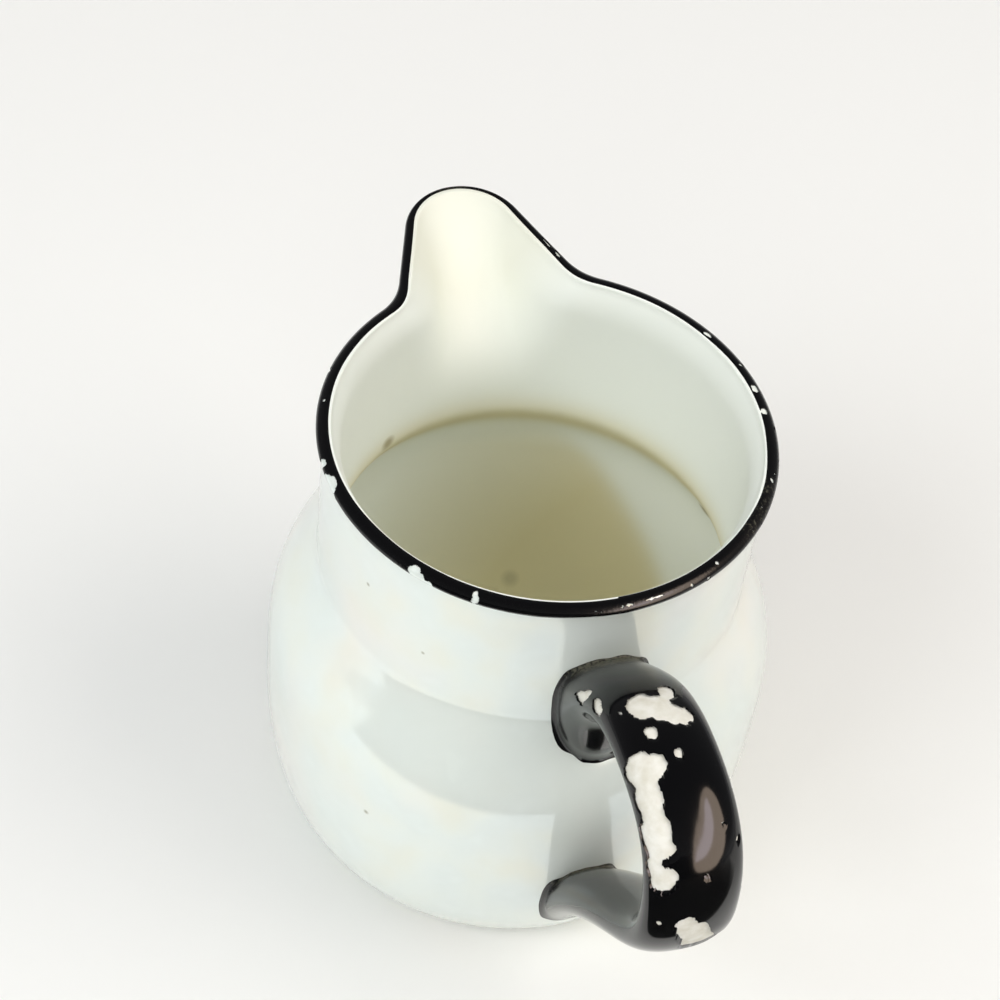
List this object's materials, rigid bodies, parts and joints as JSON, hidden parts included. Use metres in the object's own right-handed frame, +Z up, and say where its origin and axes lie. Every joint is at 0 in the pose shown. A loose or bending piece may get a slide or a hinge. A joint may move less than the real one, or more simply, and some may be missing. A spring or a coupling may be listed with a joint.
{
  "type": "cream jug",
  "caption": "Small ceramic cream jug with a round belly, collar neck, beak-shaped pouring spout, black enamelled lip and a flat strap handle luted to the neck and the belly.",
  "frame": {"origin": "centre of the foot ring, on the table", "axes": "+Z up along the axis of the jug, +X towards the spout, -X towards the handle"},
  "size_m": [0.1105, 0.07, 0.0759],
  "materials": {
    "pearl_lustre_glaze": "glossy pearl lustre glaze over white earthenware",
    "fired_clay": "bare fired white earthenware, cast",
    "fired_slip": "bare fired slip",
    "black_enamel": "glossy black overglaze enamel, chipped by use"
  },
  "bodies": {
    "root": {"jug_body": "pearl_lustre_glaze", "handle": "fired_clay", "upper_handle_lute": "fired_slip", "lower_handle_lute": "fired_slip", "rim_enamel": "black_enamel", "handle_enamel": "black_enamel"}
  },
  "joints": []
}
